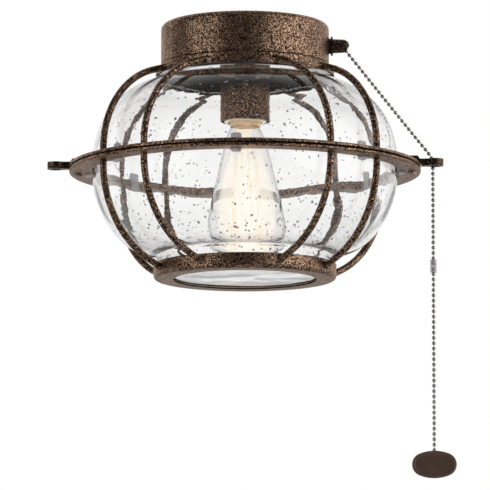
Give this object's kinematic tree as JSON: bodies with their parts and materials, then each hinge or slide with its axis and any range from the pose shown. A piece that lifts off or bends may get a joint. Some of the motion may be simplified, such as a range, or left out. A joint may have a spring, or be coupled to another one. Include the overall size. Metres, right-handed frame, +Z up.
{
  "type": "ceiling fan light",
  "caption": "Caged onion-globe light for a ceiling fan: drum fitter, rod cage with a flat ring, clear bubble glass, filament lamp and a side pull chain led through an eyelet.",
  "frame": {"origin": "centre of the drum's top face, where the fitter closes on the fan's hub and the stem comes out", "axes": "+Z up along the stem; +X towards the pull-chain nozzle and the right eyelet; -Y is the front"},
  "size_m": [0.3298, 0.284, 0.3777],
  "materials": {
    "mottled_copper": "textured powder coat, copper speckle over near-black veins",
    "dark_bronze": "semi-gloss dark bronze paint",
    "screw_bronze": "satin bronze paint",
    "black_washer": "satin black",
    "zinc_steel": "zinc plated",
    "seeded_glass": "clear blown glass with seed bubbles",
    "lamp_glass": "clear thin glass",
    "soft_gasket": "translucent silicone",
    "clear_bumper": "clear soft plastic",
    "clear_coupling": "clear plastic",
    "porcelain": "glazed",
    "brass": "plain",
    "lamp_insulator": "black vitreous glass",
    "glowing_filament": "lit carbon-style strands",
    "switch_phenolic": "moulded",
    "switch_nylon": "moulded",
    "connector_plastic": "moulded",
    "lead_black": "insulation",
    "lead_white": "insulation",
    "chain_nickel": "antique nickel",
    "fob_brown": "satin dark bronze"
  },
  "bodies": {
    "root": {"fitter_drum": "mottled_copper", "pipe_nipple": "zinc_steel", "pipe_nuts": "zinc_steel", "lock_washers": "zinc_steel", "cage_collar": "mottled_copper", "upper_ring": "mottled_copper", "lower_ring": "mottled_copper", "bottom_band": "mottled_copper", "glass_globe": "seeded_glass", "globe_top_gasket": "soft_gasket", "globe_bottom_gasket": "soft_gasket", "ring_bumpers": "clear_bumper", "eyelet_left": "dark_bronze", "eyelet_right": "dark_bronze", "ring_screws": "screw_bronze", "socket_husk": "mottled_copper", "socket_body": "porcelain", "socket_shell": "brass", "socket_contact": "brass", "bulb_glass": "lamp_glass", "bulb_cap": "brass", "bulb_insulator": "lamp_insulator", "bulb_tip": "brass", "bulb_stem": "lamp_glass", "bulb_filament": "glowing_filament", "switch_case": "switch_phenolic", "switch_cover": "switch_phenolic", "switch_bushing": "zinc_steel", "bushing_nut": "zinc_steel", "nozzle_washer": "black_washer", "chain_nozzle": "dark_bronze", "wheel_pin": "zinc_steel", "wire_nuts": "connector_plastic", "lead_black": "lead_black", "lead_switched": "lead_black", "lead_white": "lead_white", "chain_lead": "chain_nickel", "upper_rib_1": "mottled_copper", "upper_rib_2": "mottled_copper", "upper_rib_3": "mottled_copper", "upper_rib_4": "mottled_copper", "upper_rib_5": "mottled_copper", "upper_rib_6": "mottled_copper", "upper_rib_7": "mottled_copper", "upper_rib_8": "mottled_copper", "lower_rib_1": "mottled_copper", "lower_rib_2": "mottled_copper", "lower_rib_3": "mottled_copper", "lower_rib_4": "mottled_copper", "lower_rib_5": "mottled_copper", "lower_rib_6": "mottled_copper", "lower_rib_7": "mottled_copper", "lower_rib_8": "mottled_copper"},
    "switch_wheel": {"pull_wheel": "switch_nylon", "contact_cam": "switch_nylon"},
    "swing_link": {"swing_bead": "chain_nickel"},
    "hanging_chain": {"chain_drop": "chain_nickel"},
    "pull_chain": {"chain_coupling": "clear_coupling", "extension_chain": "chain_nickel"},
    "fob": {"pull_fob": "fob_brown"}
  },
  "joints": [
    {"name": "chain_swing_side", "type": "hinge", "parent": "root", "child": "swing_link", "pos_m": [0.1517, 0, -0.1191], "axis": [0, 1, 0], "range_deg": [-30, 30]},
    {"name": "chain_swing_front", "type": "hinge", "parent": "swing_link", "child": "hanging_chain", "pos_m": [0.1517, 0, -0.1191], "axis": [1, 0, 0], "range_deg": [-30, 30]},
    {"name": "chain_pull", "type": "slide", "parent": "hanging_chain", "child": "pull_chain", "axis": [0, 0, -1], "range_m": [0, 0.0086], "stiffness_N_per_m": 600, "springref_m": -0.001},
    {"name": "fob_spin", "type": "hinge", "parent": "pull_chain", "child": "fob", "pos_m": [0.1517, 0, -0.3476], "axis": [0, 0, 1], "continuous": true},
    {"name": "wheel_turn", "type": "hinge", "parent": "root", "child": "switch_wheel", "pos_m": [0.048, 0, -0.02367], "axis": [0, 1, 0], "range_deg": [0, 90]}
  ],
  "couplings": [
    {"joint": "wheel_turn", "follows": "chain_pull", "rad_per_m": 182.65}
  ]
}
